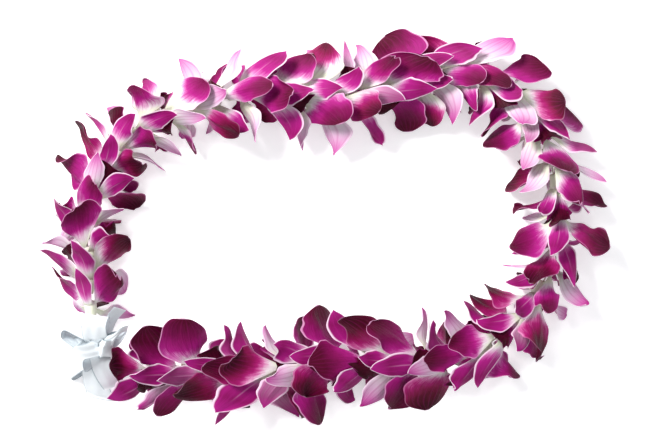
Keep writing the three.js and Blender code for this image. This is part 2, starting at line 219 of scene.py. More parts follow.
def wall(k, y, z):
    """Wall between bloom k and the next: the shared cup, tilted and folded by seeded draws.

    The tilt is a plane, the wave a second harmonic of the angle, and the walls at both ends of the row
    draw back beside the bow.
    """
    s = FIRST_BLOOM + PITCH * (k + 0.5)
    r = np.hypot(y, z)
    turn = 2 * PI * draw(k, 1)
    tilt = TOSS / TOSS_REACH * (y * math.cos(turn) + z * math.sin(turn))
    fold = 2 * PI * draw(k, 2)
    double = (y * y - z * z) * math.cos(fold) + 2 * y * z * math.sin(fold)
    wave = 0.5 * TOSS / TOSS_REACH * double / (r + 8)
    first = -2 - 6 * np.tanh(z / 10) if k < 0 else 0
    last = -8 if k == BLOOM_COUNT - 1 else 0
    ends = (first + last) * smooth((r - 8) / 20)
    return s - ROOT_DEPTH + cup(s, y, z) + tilt + wave + ends


def nest(k, kind, y, z, d, bend):
    """Place along the string: the tepal's layer of its cell, plus d held inside the layer by a tanh.

    Half the cell is half the gap of its walls, less the clearance measured square to their slope. The
    layers spread away from the root and draw a little closer towards the tips, where each tepal's room
    becomes the same share of the cell.
    """
    back, front = wall(k - 1, y, z), wall(k, y, z)
    step = 0.6
    dy = (wall(k, y + step, z) - wall(k, y - step, z)) / (2 * step)
    dz = (wall(k, y, z + step) - wall(k, y, z - step)) / (2 * step)
    stretch = 1 + bend * y
    slope = stretch * np.hypot(dy, dz)
    half = (front - back) / 2 - CLEARANCE * np.sqrt(1 + slope**2) / stretch
    r = np.hypot(y, z)
    spread = 0.35 + 0.65 * smooth((r - 3) / 8)
    free = smooth((r - 10) / 14)
    space = np.maximum(half, 0.8)
    layer = kind["layer"] * spread * (1 - 0.15 * free) * space
    room = (kind["room"] + (0.6 - kind["room"]) * free) * space
    return (front + back) / 2 + layer + room * np.tanh(d / room)


def settle(z):
    """Height kept above the surface: unchanged well above it and flattening out just over it."""
    low = -STRING_HEIGHT + CAD_BLADE / 2
    start = -15
    depth = start - low + 3.5
    below = np.maximum(start - depth * np.tanh((start - z) / depth), low)
    return np.where(z > start, z, below)


# ---------------------------------------------------------------- outlines of the tepals

def petal_outline(u):
    """A broad claw that widens smoothly to the middle, then a round end with a slight point."""
    claw = smooth(u / 0.48) ** 0.6
    end = np.maximum(1 - np.maximum((u - 0.5) / 0.53, 0) ** 2.2, 0) ** 0.64
    return claw * end


def sepal_outline(u):
    """Half as wide at its base as in its middle, then an even taper to a blunt point."""
    base = 0.5 + 0.5 * smooth(u / 0.45)
    return base * np.maximum(1 - np.maximum((u - 0.4) / 0.6, 0) ** 1.9, 0) ** 0.85


def lip_outline(u):
    """A short base with side lobes as one bell, and a middle lobe as another."""
    side_lobes = 0.45 * np.exp(-(((u - 0.45) / 0.15) ** 2))
    middle_lobe = 0.25 * np.exp(-(((u - 0.9) / 0.15) ** 2))
    end = np.sqrt(np.maximum(1 - np.maximum((u - 0.82) / 0.2, 0) ** 2.4, 0))
    return (0.8 * (1 - np.maximum(1 - u / 0.3, 0) ** 2) + side_lobes + middle_lobe) * end


# The three kinds of tepal: true length, half width, its layer of the bloom and the room there, how far it
# bends sideways at most (radians), its channel and how that varies, how much it twists, leans, curls,
# ruffles and furls at most, where its tip ends, the height and count of its quick waves, its keel, the
# roll of its margin, its broad folds, its grid and its outline. Then each tepal's place in the bloom.
SEPAL = dict(
    name="sepal", length=39, width=8.8, layer=-0.5, room=0.48, bow=1.0, channel=2.2, arch=4,
    twist=7, lean=7, curl=11, ruffle=1.2, furl=0.3, reach=1.0, wave=0.5, waves=11, keel=0.5,
    margin=2.6, fold=0.5, rows=34, columns=15, outline=sepal_outline)
PETAL = dict(
    name="petal", length=38.5, width=14.6, layer=0.36, room=0.6, bow=0.45, channel=0, arch=9,
    twist=17, lean=6, curl=11, ruffle=3, furl=0.5, reach=1.028, wave=1.3, waves=13, keel=0.8,
    margin=5.5, fold=1.1, rows=46, columns=27, outline=petal_outline)
LIP = dict(
    name="lip", length=23, width=8, layer=0.5, room=0.45, bow=0.1, channel=3, arch=1,
    twist=1, lean=3, curl=4, ruffle=0.9, furl=0, reach=1.018, wave=1.1, waves=26, keel=0.6,
    margin=1.2, fold=0.3, rows=30, columns=17, outline=lip_outline)
TEPALS = [(SEPAL, 90), (PETAL, 18), (SEPAL, -52), (LIP, -90), (SEPAL, -128), (PETAL, 162)]


# ---------------------------------------------------------------- meshes

def grid_faces(rows, columns, wrap=False):
    """Quads of a grid of points: row by row, the last column joined to the first if wrap is set."""
    across = columns if wrap else columns - 1
    r, c = np.meshgrid(np.arange(rows - 1), np.arange(across), indexing="ij")
    n = (c + 1) % columns
    quads = np.stack([r * columns + c, (r + 1) * columns + c,
                      (r + 1) * columns + n, r * columns + n], axis=-1)
    return quads.reshape(-1, 4)


def closed_sheet(points, rows, columns, u, v):
    """Block of two grids of points, front then back, with a strip of quads joining them all round."""
    count = rows * columns
    faces = grid_faces(rows, columns)
    edge = np.concatenate([
        np.arange(rows) * columns,
        (rows - 1) * columns + np.arange(1, columns),
        np.arange(rows - 2, -1, -1) * columns + columns - 1,
        np.arange(columns - 2, 0, -1)])
    follow = np.roll(edge, -1)
    strip = np.stack([follow, edge, edge + count, follow + count], axis=-1)
    blade = np.stack([u, 0.5 + 0.5 * v], axis=-1).reshape(-1, 2)
    return dict(
        points=points,
        faces=np.concatenate([faces, faces[:, ::-1] + count, strip]),
        uv=np.concatenate([blade, blade]),
        back=np.repeat([0.0, 1.0], count))


def sheet_block(at, half_width, rows, columns, reach, thickness, rim):
    """Closed thin sheet round the middle surface at(u, x), as wide as half_width(u, v) to each side.

    Every point is offset both ways along the normal, which is the cross product of the steps along
    and across the surface, by half the thickness. The thickness falls to rim at the edges as the
    square root of 1 - v^4, and a strip of quads joins the two faces all round.
    """
    t = np.linspace(0, 1, rows)[:, None]
    u = reach * (1 - (1 - t) ** 1.7) * np.ones((1, columns))
    v = np.sin(np.linspace(-1, 1, columns) * PI / 2)[None, :] * np.ones((rows, 1))
    x = v * half_width(u, v)
    h = 0.02
    ahead = at(np.minimum(u + h, reach), x) - at(np.maximum(u - h, 0), x)
    across = at(u, x + 0.3) - at(u, x - 0.3)
    normal = np.cross(ahead, across)
    normal /= np.linalg.norm(normal, axis=-1, keepdims=True)
    end = np.minimum(1, (1 - t) / 0.06)
    depth = rim + (thickness - rim) * np.sqrt(1 - v**4) * np.sqrt(end)
    middle = at(u, x)
    offset = normal * depth[..., None] / 2
    points = np.concatenate([(middle + offset).reshape(-1, 3), (middle - offset).reshape(-1, 3)])
    return closed_sheet(points, rows, columns, u / reach, v)


def ring_block(points, closed=False):
    """Block of a tube from rows of points round it, its rows running against the string.

    The last row joins the first if closed is set, and otherwise strips of quads cap both ends.
    """
    rows, columns = points.shape[:2]
    first = np.arange(columns)
    last = (rows - 1) * columns + first
    faces = [grid_faces(rows, columns, wrap=True)]
    if closed:
        faces.append(np.stack([last, first, np.roll(first, -1), np.roll(last, -1)], axis=-1))
    else:
        i = np.arange(columns // 2 - 1)
        cap = np.stack([i, i + 1, columns - 2 - i, columns - 1 - i], axis=-1)
        faces += [cap, cap[:, ::-1] + (rows - 1) * columns]
    u, v = np.meshgrid(np.linspace(1, 0, rows), np.linspace(0, 1, columns), indexing="ij")
    uv = np.stack([u, v], axis=-1).reshape(-1, 2)
    return dict(points=points.reshape(-1, 3), faces=np.concatenate(faces), uv=uv,
                back=np.zeros(rows * columns))


def make_piece(name, blocks, materials, node):
    """One mesh object from blocks of points, quads, UVs and attributes, riding on the root body."""
    points = np.concatenate([b["points"] for b in blocks]) * MM
    starts = np.cumsum([0] + [len(b["points"]) for b in blocks[:-1]])
    faces = np.concatenate([b["faces"] + start for b, start in zip(blocks, starts)])
    looks = np.concatenate([np.full(len(b["faces"]), b["look"]) for b in blocks])
    uv = np.concatenate([b["uv"] for b in blocks])
    mesh = bpy.data.meshes.new(name)
    mesh.from_pydata(points, [], faces)
    mesh.polygons.foreach_set("use_smooth", np.ones(len(faces), bool))
    mesh.polygons.foreach_set("material_index", looks.astype(np.int32))
    layer = mesh.uv_layers.new(name="Blade")
    layer.data.foreach_set("uv", uv[faces.ravel()].astype(np.float32).ravel())
    for key in ("back", "tone", "seed"):
        values = np.concatenate([np.broadcast_to(b.get(key, 0.0), len(b["points"])) for b in blocks])
        mesh.attributes.new(key, "FLOAT", "POINT").data.foreach_set("value", values.astype(np.float32))
    for material in materials:
        mesh.materials.append(material)
    mesh.validate()
    mesh.update()
    piece = bpy.data.objects.new(name, mesh)
    bpy.context.scene.collection.objects.link(piece)
    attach(piece, "root")
    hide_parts(node)
    return piece


# ---------------------------------------------------------------- blooms

def midrib(s, azimuth, bow, length, reach):
    """Midrib in the cross-section, walked in equal steps of true length and bowed by its square."""
    steps = 24
    spare = int(math.ceil((reach - 1) * steps)) + 1
    y, z = ROOT_RADIUS * math.cos(azimuth), ROOT_RADIUS * math.sin(azimuth)
    rib = []
    for i in range(steps + spare + 1):
        turn = azimuth + bow * (i / steps) ** 2
        ey, ez = math.cos(turn), math.sin(turn)
        rib.append((i / steps, y, z, turn))
        rise = cup(s, y + 0.5 * ey, z + 0.5 * ez) - cup(s, y - 0.5 * ey, z - 0.5 * ez)
        stride = length / steps / math.sqrt(1 + float(rise) ** 2)
        y += stride * ey
        z += stride * ez
    return np.array(rib)


def roll_of(k):
    """Turn of bloom k round the string: the golden angle and a seeded swing."""
    return PI / 180 * (GOLDEN_ANGLE * k + ROLL_SWING * swing(k, 3))


def tepal_block(k, j):
    """Tepal j of bloom k as a thin closed sheet, toned by its place in the loop and by draws.

    The depth of a point is a lean with u^2, a curl with u^4, a channel with v^2, a twist with u v,
    a slow ruffle, a quick wave and a slow roll of the margin, which grow with the cube and the square
    of its nearness, broad folds as a sine of u and v, and a narrow keel down the midrib. Slow and quick
    sines make the outline uneven.
    """
    kind, azimuth = TEPALS[j]
    s = FIRST_BLOOM + PITCH * k
    bend = bend_at(s)
    n = 7 * k + j
    grown = GROWTH_SWING * math.cos(4 * PI * s / LENGTH - NOD_TURN)
    size = 1 + grown + 0.05 * swing(k, 4) + 0.1 * swing(n, 5)
    width = kind["width"] * size * (1 - kind["furl"] * draw(n, 14) ** 2)
    heading = PI / 180 * (azimuth + 5 * swing(n, 7)) + roll_of(k)
    rib = midrib(s, heading, kind["bow"] * swing(n, 8), kind["length"] * size, kind["reach"])
    lean = 2.5 * swing(k, 6) + kind["lean"] * swing(n, 9)
    curl = kind["curl"] * swing(n, 10)
    channel = kind["channel"] + kind["arch"] * swing(n, 11)
    twist = kind["twist"] * swing(n, 12)
    phase = 2 * PI * draw(n, 13)
    other_phase = 2 * PI * draw(n, 18)

    def at(u, x):
        """Middle surface at the length share u, x to the side of the midrib."""
        share, rib_y, rib_z, rib_turn = rib.T
        turn = np.interp(u, share, rib_turn)
        y = np.interp(u, share, rib_y) - x * np.sin(turn)
        z = settle(np.interp(u, share, rib_z) + x * np.cos(turn))
        v = x / width
        rise = lean * u**2 + curl * u**4
        arch = channel * v**2 * smooth(u / 0.4) + twist * v * u
        ruffle = kind["ruffle"] * np.sin(7 * u + phase) * v * np.abs(v)
        near = np.minimum(np.abs(x) / (width * np.maximum(kind["outline"](u), 0.2)), 1)
        quick = np.sin(kind["waves"] * u + other_phase + 1.3 * np.sign(v))
        wave = kind["wave"] * quick * near**3 * smooth(u / 0.5)
        slow = np.sin(4.5 * u + 2 * other_phase + 2 * np.sign(v))
        wave = wave + kind["margin"] * slow * np.maximum((near - 0.5) / 0.5, 0) ** 2 * smooth(u / 0.4)
        broad = np.sin(5.5 * v + 3 * u + 2 * phase) * smooth((u - 0.1) / 0.4)
        wave = wave + kind["fold"] * broad * (1 - 0.5 * near**2)
        keel = -kind["keel"] * np.exp(-((x / 0.9) ** 2)) * smooth(u / 0.2) * (1 - smooth((u - 0.55) / 0.45))
        return lay(nest(k, kind, y, z, rise + arch + ruffle + wave + keel, bend), y, z)

    def half_width(u, v):
        """The kind's outline, made uneven by a slow and a quick sine of u."""
        slow = 0.06 * np.sin(8 * u + phase + 2 * np.sign(v))
        quick = 0.025 * np.sin(21 * u + other_phase + np.sign(v))
        return width * kind["outline"](u) * (1 + (slow + quick) * smooth((u - 0.2) / 0.3))

    block = sheet_block(at, half_width, kind["rows"], kind["columns"], kind["reach"], FLESH, RIM)
    place = TONE_MEAN + TONE_SWING * math.cos(2 * PI * s / LENGTH - TONE_TURN)
    block["tone"] = place + 0.35 * swing(k, 15) + 0.4 * swing(n, 16)
    block["seed"] = draw(n, 17)
    block["look"] = {"petal": 0, "sepal": 1, "lip": 2}[kind["name"]]
    return block


def neck_block(k):
    """Neck and chin of bloom k: a closed profile of radius and place carried round the string.

    The profile goes from the scar at the back, out over the neck to the root of the tepals and back
    through the bore. The chin swells the side of the lip by the square of the sine of the angle, and six
    shallow ribs are a cosine of six times the angle.
    """
    outside = np.array([
        [1.8, -12.0], [2.6, -11.9], [3.2, -11.3], [3.5, -10], [3.8, -7.5], [4.2, -5], [4.6, -2.5],
        [4.9, 0], [4.9, 2], [4.4, 3.2], [3.2, 3.8], [1.9, 3.9]])
    inside = np.array([[BORE_RADIUS, 3.5], [BORE_RADIUS, -4], [BORE_RADIUS, -11.6]])
    profile = np.concatenate([outside, inside])
    columns = 28
    angle = np.linspace(0, 2 * PI, columns, endpoint=False)[None, :]
    r, t = profile[:, 0][:, None], profile[:, 1][:, None]
    is_outside = r > BORE_RADIUS + 0.05
    swell = 1 + is_outside * 0.25 * np.maximum(-np.sin(angle), 0) ** 2 * smooth((4 - t) / 8)
    ribs = 1 + is_outside * 0.035 * np.cos(6 * angle) * smooth((t + 11) / 5)
    roll = roll_of(k)
    s = FIRST_BLOOM + PITCH * k
    y = r * swell * ribs * np.cos(angle + roll)
    z = r * swell * ribs * np.sin(angle + roll)
    block = ring_block(lay(s + t + 0 * angle, y, z)[::-1], closed=True)
    block["uv"][:, 0] = np.repeat((profile[::-1, 1] + 12) / 16, columns)
    block["tone"] = 0.5 * swing(k, 15)
    block["seed"] = draw(k, 18)
    block["look"] = 3
    return block


def column_block(k):
    """Column of bloom k: a short tube beside the string, hooded by the round cap at its end.

    Its radius is a slow taper, then the swell of the cap as a bell, closed by the root of 1 - t^8.
    """
    rows, columns = 22, 16
    t = np.linspace(0, 1, rows)[:, None]
    angle = np.linspace(0, 2 * PI, columns, endpoint=False)[None, :]
    end = np.sqrt(np.maximum(1 - (2 * t - 1) ** 8, 0.0025))
    radius = (1.35 - 0.35 * t + 0.35 * np.exp(-(((t - 0.86) / 0.1) ** 2))) * end
    away = 2.75 + 0.9 * t**2
    reach = 0.5 + 7.6 * t
    up = away + radius * np.cos(angle) * 0.8
    side = radius * np.sin(angle)
    turn = roll_of(k) + PI / 2
    y = up * math.cos(turn) - side * math.sin(turn)
    z = up * math.sin(turn) + side * math.cos(turn)
    s = FIRST_BLOOM + PITCH * k
    block = ring_block(lay(s + reach + 0 * angle, y, z)[::-1])
    block["tone"] = 0.4 * swing(k, 19)
    block["seed"] = draw(k, 20)
    block["look"] = 4
    return block


def make_blooms(materials):
    """Each bloom is its six tepals, its neck and its column in one piece."""
    for k in range(BLOOM_COUNT):
        blocks = [tepal_block(k, j) for j in range(len(TEPALS))]
        blocks += [neck_block(k), column_block(k)]
        make_piece(f"bloom_{k + 1:02d}_petals", blocks, materials, f"bloom_{k + 1:02d}")


# ---------------------------------------------------------------- string and knot

def make_string(material):
    """Three-ply cotton string: a closed tube along the route, its section a three-lobed twist.

    The radius is a mean and a third harmonic of the angle less the twist along the string. The knot
    is a coil of the same string wound close round it.
    """
    rows, columns = 1600, 15
    s = np.linspace(LENGTH, 0, rows, endpoint=False)[:, None]
    angle = np.linspace(0, 2 * PI, columns, endpoint=False)[None, :]
    twists = round(LENGTH / 6)
    radius = STRING_RADIUS * (0.88 + 0.12 * np.cos(3 * angle - 2 * PI * twists * s / LENGTH))
    cord = ring_block(lay(s + 0 * angle, radius * np.cos(angle), radius * np.sin(angle)), closed=True)
    cord["look"] = 0

    turns, thread, knot_width = 3.6, 0.55, 4.4
    wound = np.linspace(1, 0, 180)[:, None]
    around = 2 * PI * turns * wound
    off = STRING_RADIUS + thread * 0.75
    end = np.sqrt(np.maximum(1 - (2 * wound - 1) ** 40, 0.01))
    reach = (wound - 0.5) * knot_width + thread * end * np.sin(angle)
    out = off + thread * end * np.cos(angle)
    knot = ring_block(lay(reach, out * np.cos(around), out * np.sin(around)))
    knot["look"] = 0
    make_piece("string_cotton", [cord, knot], [material], "string")


# ---------------------------------------------------------------- bow

def place_bow(dx, dy, rise):
    """Place of a point of the bow, (dx, dy) from the knot seen from above, kept between the blooms."""
    _, along, out = frame_at(np.array(0.0))
    t = dx * along[0] + dy * along[1]
    y = dx * out[0] + dy * out[1]
    z = np.maximum(rise, -STRING_HEIGHT + CAD_RIBBON / 2)
    front = wall(-1, y, z) - BOW_CLEARANCE
    back = wall(BLOOM_COUNT - 1, y, z) - LENGTH + BOW_CLEARANCE
    room, middle = (front - back) / 2, (front + back) / 2
    share = (t - middle) / room
    return lay(middle + room * share / (1 + share**4) ** 0.25, y, z)


def ribbon_block(heading, rise, droop, roll, length, opening, half_width, number):
    """One loop of the ribbon, out from the knot and back, or one tail.

    The reach is a half cosine, the loop opens by the tanh of a sine, and the ribbon gathers into
    pleats towards the knot: cosine waves across it that grow as its width is drawn in.
    """
    turn, lift, lean = (PI / 180 * a for a in (heading, rise, roll))
    ahead = np.array([math.cos(turn) * math.cos(lift), math.sin(turn) * math.cos(lift), math.sin(lift)])
    level = np.array([-math.sin(turn), math.cos(turn), 0.0])
    side = (level * math.cos(lean) + np.cross(ahead, level) * math.sin(lean)
            + ahead * np.dot(ahead, level) * (1 - math.cos(lean)))
    up = np.cross(ahead, side)
    looped = opening > 0

    def reach_of(u):
        """Share of the way out: out and back in a loop, only out in a tail."""
        return (1 - np.cos(2 * PI * u)) / 2 if looped else u

    def half_of(u):
        """Half width, drawn in at the knot."""
        return half_width * (0.4 + 0.6 * smooth(reach_of(u) / 0.35))

    def at(u, x):
        """Middle surface at the share u along the ribbon, x to its side."""
        reach = reach_of(u)
        bulge = opening / 2 * np.tanh(2.2 * np.sin(2 * PI * u)) if looped else 2.5 * np.sin(4 * u + 1)
        open_out = bulge * (0.35 + 0.65 * smooth(reach / 0.4))
        v = x / half_of(u)
        gather = 1 - smooth(reach / 0.45)
        pleats = 0.6 * gather * np.cos(3 * PI * v + number)
        crease = 0.4 * np.sin(7 * v + 9 * u + 2 * number) * (0.5 + 0.5 * gather)
        p = [length * reach * ahead[i] + (open_out + pleats + crease) * up[i] + x * side[i]
             for i in range(3)]
        return place_bow(p[0], p[1], p[2] + BOW_RISE - droop * reach**2)

    first, last = (0.06, 0.94) if looped else (0.05, 1.0)
    rows = 84 if looped else 44

    def stretch(u, x):
        """The same surface without the ends that the gathered middle hides."""
        return at(first + (last - first) * u, x)

    return ribbon_sheet(stretch, lambda u: half_of(first + (last - first) * u), rows)


def ribbon_sheet(at, half_width, rows):
    """Closed even sheet of ribbon: both faces offset along the normal, with a strip round the edge."""
    columns = 25
    u = np.linspace(0, 1, rows)[:, None] * np.ones((1, columns))
    v = np.linspace(-1, 1, columns)[None, :] * np.ones((rows, 1))
    x = v * half_width(u)
    h = 0.004
    ahead = at(u + h, x) - at(u - h, x)
    across = at(u, x + 0.3) - at(u, x - 0.3)
    normal = np.cross(ahead, across)
    normal /= np.linalg.norm(normal, axis=-1, keepdims=True)
    middle = at(u, x)
    points = np.concatenate([(middle + normal * SATIN / 2).reshape(-1, 3),
                             (middle - normal * SATIN / 2).reshape(-1, 3)])
    return closed_sheet(points, rows, columns, u, v)


def beside_knot(t, y, z):
    """Straight space at the knot: its point, plus t along the string there, y outwards and z upwards."""
    point, along, out = frame_at(np.array(0.0))
    plan = point + along * t[..., None] + out * y[..., None] - MIDDLE_OF_LEI
    return np.concatenate([plan, (z + STRING_HEIGHT)[..., None]], axis=-1)


def gathered_middle():
    """Gathers of the bow: an ellipsoid with pleats as waves of its longitude that fade at its poles."""
    latitude = np.linspace(PI - 0.02, 0.02, 40)[:, None]
    angle = np.linspace(0, 2 * PI, 64, endpoint=False)[None, :]
    pleat = 1 + 0.07 * np.cos(9 * angle + 2 * latitude) * np.sin(latitude) ** 2
    r = GATHER_RADIUS * pleat
    t = r * np.cos(latitude) * 0.95 + 0 * angle
    y = r * np.sin(latitude) * np.cos(angle)
    z = r * np.sin(latitude) * np.sin(angle) * 0.85 + BOW_RISE
    return ring_block(beside_knot(t, y, z))


def turn_round_string():
    """Turn of ribbon round the string: a flat ring by its profile, wrinkled by a cosine of the angle."""
    edge = TURN_WIDTH / 2
    profile = np.array([[TURN_RADIUS, 0.1 - edge], [TURN_RADIUS + 0.9, -edge], [TURN_RADIUS + 1, -1.5],
                        [TURN_RADIUS + 0.95, 1.2], [TURN_RADIUS + 0.9, edge], [TURN_RADIUS, edge - 0.1]])
    angle = np.linspace(0, 2 * PI, 64, endpoint=False)[None, :]
    r, t = profile[:, 0][:, None], profile[:, 1][:, None]
    wrinkle = 1 + 0.03 * np.cos(5 * angle + 1.5 * t)
    y, z = r * wrinkle * np.cos(angle), r * wrinkle * np.sin(angle)
    return ring_block(beside_knot(t + 0 * angle, y, z)[::-1], closed=True)


def make_bow(material):
    """The ribbon in one piece: its loops and tails, the gathered middle and the turn round the string."""
    blocks = [ribbon_block(number=i, **piece) for i, piece in enumerate(RIBBON_PIECES)]
    blocks += [gathered_middle(), turn_round_string()]
    for block in blocks:
        block["look"] = 0
    bow = make_piece("bow_satin_ribbon", blocks, [material], "bow_ribbon")
    ribbon_length = sum((2 if p["opening"] else 1) * p["length"] for p in RIBBON_PIECES) + RIBBON_SPARE
    ribbon_length * MM


# ---------------------------------------------------------------- node materials

def srgb(red, green, blue):
    """Linear colour of a screen colour given from 0 to 255."""
    return tuple((c / 255 / 12.92 if c / 255 <= 0.04045 else ((c / 255 + 0.055) / 1.055) ** 2.4)
                 for c in (red, green, blue)) + (1.0,)


class Value:
    """A number socket; arithmetic on it adds Math nodes to its material's tree."""

    def __init__(self, finish, socket):
        """The socket, and the Finish whose tree it is in."""
        self.finish = finish
        self.socket = socket

    def _math(self, operation, *others):
        """New Math node with this value first."""
        return self.finish.node("ShaderNodeMath", {"operation": operation},
                                dict(enumerate((self, *others))))

    def __add__(self, other):
        return self._math("ADD", other)

    def __sub__(self, other):
        return self._math("SUBTRACT", other)

    def __rsub__(self, other):
        return self.finish.node("ShaderNodeMath", {"operation": "SUBTRACT"}, {0: other, 1: self})

    def __mul__(self, other):
        return self._math("MULTIPLY", other)

    def __pow__(self, other):
        return self._math("POWER", other)

    __radd__ = __add__
    __rmul__ = __mul__

    def size(self):
        """Its distance from nought."""
        return self._math("ABSOLUTE")

    def sine(self):
        return self._math("SINE")

    def at_least(self, other):
        """The larger of the two."""
        return self._math("MAXIMUM", other)

    def step(self, low, high):
        """Smooth step from 0 at low to 1 at high."""
        return self.finish.node("ShaderNodeMapRange", {"interpolation_type": "SMOOTHSTEP"},
                                {"Value": self, "From Min": low, "From Max": high})


class Finish:
    """A node material with one Principled shader."""

    def __init__(self, name, **constants):
        """Constants are set on the shader's sockets of the same names."""
        self.material = bpy.data.materials.new(name)
        self.material.use_nodes = True
        self.tree = self.material.node_tree
        self.shader = self.tree.nodes["Principled BSDF"]
        for socket, value in constants.items():
            self.shader.inputs[socket.replace("_", " ")].default_value = value

    def node(self, kind, settings=None, sockets=None, output=0):
        """New node of a kind, with its settings first and then its sockets' values or links."""
        node = self.tree.nodes.new(kind)
        for key, value in (settings or {}).items():
            setattr(node, key, value)
        for key, value in (sockets or {}).items():
            self.put(node.inputs[key], value)
        return Value(self, node.outputs[output])

    def put(self, socket, value):
        """Links a Value to a socket, or sets any other value on it."""
        if isinstance(value, Value):
            self.tree.links.new(value.socket, socket)
        else:
            socket.default_value = value

    def set(self, socket, value):
        """Sets or links a socket of the Principled shader."""
        self.put(self.shader.inputs[socket], value)

    def attribute(self, name):
        """One of the numbers that make_piece() keeps on the mesh."""
        return self.node("ShaderNodeAttribute", {"attribute_name": name}, output="Fac")

    def blade(self):
        """Length and side shares of the blade, from its UV map."""
        uv = self.node("ShaderNodeUVMap", {"uv_map": "Blade"})
        u = self.node("ShaderNodeSeparateXYZ", {}, {0: uv}, output="X")
        v = self.node("ShaderNodeSeparateXYZ", {}, {0: uv}, output="Y")
        return uv, u, v

    def place(self):
        """Place on the object, in metres."""
        return self.node("ShaderNodeTexCoord", output="Object")

    def noise(self, vector, scale, detail=2.0):
        """Noise from 0 to 1 at a place."""
        return self.node("ShaderNodeTexNoise", {}, {"Vector": vector, "Scale": scale, "Detail": detail})

    def stretched(self, vector, scale):
        """The same place with its axes scaled, so that a noise runs in streaks."""
        return self.node("ShaderNodeMapping", {"vector_type": "POINT"}, {"Vector": vector, "Scale": scale})

    def mix(self, share, one, other):
        """Colour between two colours."""
        return self.node("ShaderNodeMix", {"data_type": "RGBA"}, {0: share, 6: one, 7: other}, output=2)

    def ramp(self, value, stops):
        """Colour ramp with (place, colour) stops."""
        node = self.tree.nodes.new("ShaderNodeValToRGB")
        elements = node.color_ramp.elements
        while len(elements) < len(stops):
            elements.new(0.5)
        for element, (place, colour) in zip(elements, stops):
            element.position = place
            element.color = colour
        self.put(node.inputs[0], value)
        return Value(self, node.outputs[0])

    def bump(self, height, strength, distance):
        """Fine relief by a height, seen in the shader's normal."""
        values = {"Strength": strength, "Distance": distance, "Height": height}
        self.set("Normal", self.node("ShaderNodeBump", {}, values))


# Colours of the flower, from its throat to the ends of its petals.
THROAT = srgb(214, 219, 198)
WHITE = srgb(218, 206, 214)
LAVENDER = srgb(212, 176, 204)
PINK = srgb(190, 98, 162)
MAGENTA = srgb(160, 26, 120)
PURPLE = srgb(126, 12, 84)
CRIMSON = srgb(84, 3, 40)
ROSE = srgb(190, 94, 150)
CERISE = srgb(152, 22, 98)
RUBY = srgb(118, 10, 62)
GARNET = srgb(80, 3, 34)
WINE = srgb(50, 1, 18)
RIM_PINK = srgb(222, 158, 200)
RIM_WHITE = srgb(236, 208, 228)
SCAR = srgb(150, 108, 62)
BRUISE = srgb(84, 34, 24)


def vein_lines(finish, u, v, count):
    """Fine lines that run along the blade at even shares of its width, waved by a slow sine."""
    wander = (u * 5.0 + v * 9.0).sine() * 0.012
    line = ((v + wander) * (2 * PI * count)).sine() * 0.5 + 0.5
    return line ** 5.0


def petal_finish():
    """White claw, magenta through purple to crimson, darker along the middle, and a thin pale rim that is
    partly the petal's own paler margin and partly a painted highlight on its edges.
    """
    finish = Finish("orchid_petal", Roughness=0.5, Specular_IOR_Level=0.1)
    uv, u, v = finish.blade()
    tone, back, seed = (finish.attribute(n) for n in ("tone", "back", "seed"))
    side = (v - 0.5).size() * 2.0
    cloud = finish.noise(finish.place(), 110.0, 4.0) - 0.5
    streak = finish.noise(finish.stretched(uv, (2.0, 36.0, 1.0)), 1.6) - 0.5
    fine = finish.noise(finish.stretched(uv, (3.0, 110.0, 1.0)), 1.5) - 0.5
    veins = vein_lines(finish, u, v, 9)
    t = u + tone * 0.24 + streak * 0.22 + fine * 0.16 + cloud * 0.22 + seed * 0.12 - 0.02
    t = t - side * side * u.step(0.3, 0.6) * 0.2
    front = finish.ramp(t, [(0.1, THROAT), (0.19, WHITE), (0.29, PINK), (0.37, MAGENTA),
                            (0.51, PURPLE), (0.64, CRIMSON), (0.84, WINE)])
    red = finish.ramp(t, [(0.1, THROAT), (0.19, WHITE), (0.29, ROSE), (0.37, CERISE),
                          (0.51, RUBY), (0.64, GARNET), (0.84, WINE)])
    pale = finish.ramp(t, [(0.12, THROAT), (0.2, WHITE), (0.3, PINK), (0.38, MAGENTA),
                           (0.6, PURPLE), (0.9, CRIMSON)])
    colour = finish.mix((seed + cloud * 0.5).step(0.34, 0.5), red, front)
    colour = finish.mix(back * seed.step(0.2, 0.7) * 0.75, colour, pale)
    colour = finish.mix(veins * 0.25 * u.step(0.12, 0.5), colour, PURPLE)
    # Pale rim along the sides and the tip: partly the petal's own paler margin, partly a painted highlight
    # where the edges catch the light.
    rim = (side.step(0.94, 0.975) + u.step(0.975, 0.99)).step(0.0, 1.0) * u.step(0.15, 0.4)
    colour = finish.mix(rim * (seed.step(0.1, 0.6) * 0.5 + 0.2 + streak), colour, RIM_PINK)
    bruise = (u + side * 0.1 + cloud * 0.5).step(1.08, 1.16)
    finish.set("Base Color", finish.mix(bruise * 0.7, colour, BRUISE))
    finish.bump(veins * 0.5 + streak + fine + cloud, 0.35, 0.0006)
    return finish.material


